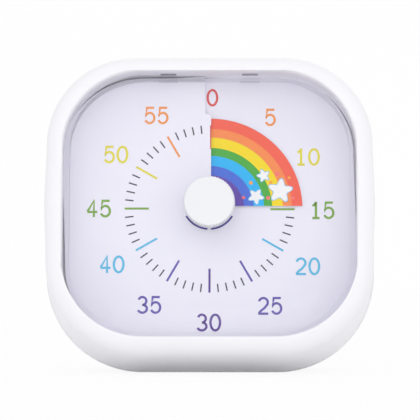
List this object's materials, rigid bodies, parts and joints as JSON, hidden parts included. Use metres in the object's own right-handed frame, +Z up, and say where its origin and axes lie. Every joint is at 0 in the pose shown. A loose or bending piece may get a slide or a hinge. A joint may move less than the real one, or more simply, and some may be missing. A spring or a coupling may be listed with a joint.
{
  "type": "visual countdown timer",
  "caption": "White desk timer with rounded corners, leaning back on a flat foot: a coloured disc that grows round the dial shows the minutes left, set by a centre knob.",
  "frame": {"origin": "middle of the outer box at the bottom, on the surface that the level foot rests on", "axes": "+X to the right seen from the front, +Y from the dial to the back, +Z up; the face leans back by 11.5 degrees"},
  "size_m": [0.09, 0.061, 0.0861],
  "materials": {
    "case_white": "fine satin moulded ABS",
    "lens_clear": "clear polished acrylic",
    "dial_print": "printed sheet, lavender white",
    "disc_print": "printed concentric rainbow bands",
    "knob_white": "satin moulded",
    "hub_plastic": "natural acetal",
    "gear_plastic": "natural acetal",
    "magnet": "sintered magnet on a plastic pinion",
    "movement_black": "moulded black",
    "steel": "bright zinc",
    "nickel": "nickel plate",
    "copper": "enamelled copper wire",
    "board_green": "solder resist",
    "cell_wrap": "plain shrink wrap"
  },
  "bodies": {
    "case": {"case_shell": "case_white", "rear_cover": "case_white", "lens": "lens_clear", "dial_plate": "dial_print", "movement_plate": "hub_plastic", "movement_screws": "steel", "movement_cover": "movement_black", "stator": "steel", "coil_bobbin": "movement_black", "coil_winding": "copper", "circuit_board": "board_green", "board_screws": "steel", "timer_chip": "movement_black", "crystal": "steel", "switch_body": "steel", "buzzer": "movement_black", "battery_cell": "cell_wrap", "plus_contact": "nickel", "minus_contact": "nickel", "minus_spring": "nickel", "case_screws": "steel"},
    "time_knob": {"knob": "knob_white", "setting_shaft": "steel", "disc_hub": "hub_plastic", "clutch_washer": "steel"},
    "disc": {"rainbow_disc": "disc_print"},
    "centre_wheel_body": {"centre_wheel": "gear_plastic"},
    "reduction_wheel_body": {"reduction_wheel": "gear_plastic"},
    "drive_wheel_body": {"drive_wheel": "gear_plastic"},
    "rotor_body": {"rotor": "magnet"},
    "battery_door_body": {"battery_door": "case_white"},
    "volume_switch_body": {"switch_lever": "movement_black"}
  },
  "joints": [
    {"name": "time_set", "type": "hinge", "parent": "case", "child": "time_knob", "pos_m": [0, -0.01428, 0.04453], "axis": [0, 0.9799, -0.1994], "range_deg": [-90, 270]},
    {"name": "disc_thread", "type": "slide", "parent": "time_knob", "child": "disc", "axis": [0, -0.9799, 0.1994], "range_m": [-0.00045, 0.00135]},
    {"name": "reduction_turn", "type": "hinge", "parent": "case", "child": "reduction_wheel_body", "pos_m": [0.0064, -0.00423, 0.0538], "axis": [0, 0.9799, -0.1994], "continuous": true},
    {"name": "centre_turn", "type": "hinge", "parent": "case", "child": "centre_wheel_body", "pos_m": [0, -0.00742, 0.04314], "axis": [0, 0.9799, -0.1994], "continuous": true},
    {"name": "drive_turn", "type": "hinge", "parent": "case", "child": "drive_wheel_body", "pos_m": [-0.00384, -0.00191, 0.05517], "axis": [0, 0.9799, -0.1994], "continuous": true},
    {"name": "rotor_turn", "type": "hinge", "parent": "case", "child": "rotor_body", "pos_m": [-0.01264, 0.00005, 0.05477], "axis": [0, 0.9799, -0.1994], "continuous": true},
    {"name": "battery_door_swing", "type": "hinge", "parent": "case", "child": "battery_door_body", "pos_m": [0, 0.01731, 0.01315], "axis": [-1, 0, 0], "range_deg": [0, 60]},
    {"name": "volume_slide", "type": "slide", "parent": "case", "child": "volume_switch_body", "axis": [1, 0, 0], "range_m": [-0.002, 0.002]}
  ],
  "couplings": [
    {"joint": "time_set", "follows": "disc_thread", "rad_per_m": 3490.7},
    {"joint": "centre_turn", "follows": "reduction_turn", "ratio": -0.066667},
    {"joint": "drive_turn", "follows": "reduction_turn", "ratio": -12},
    {"joint": "rotor_turn", "follows": "reduction_turn", "ratio": 120}
  ]
}
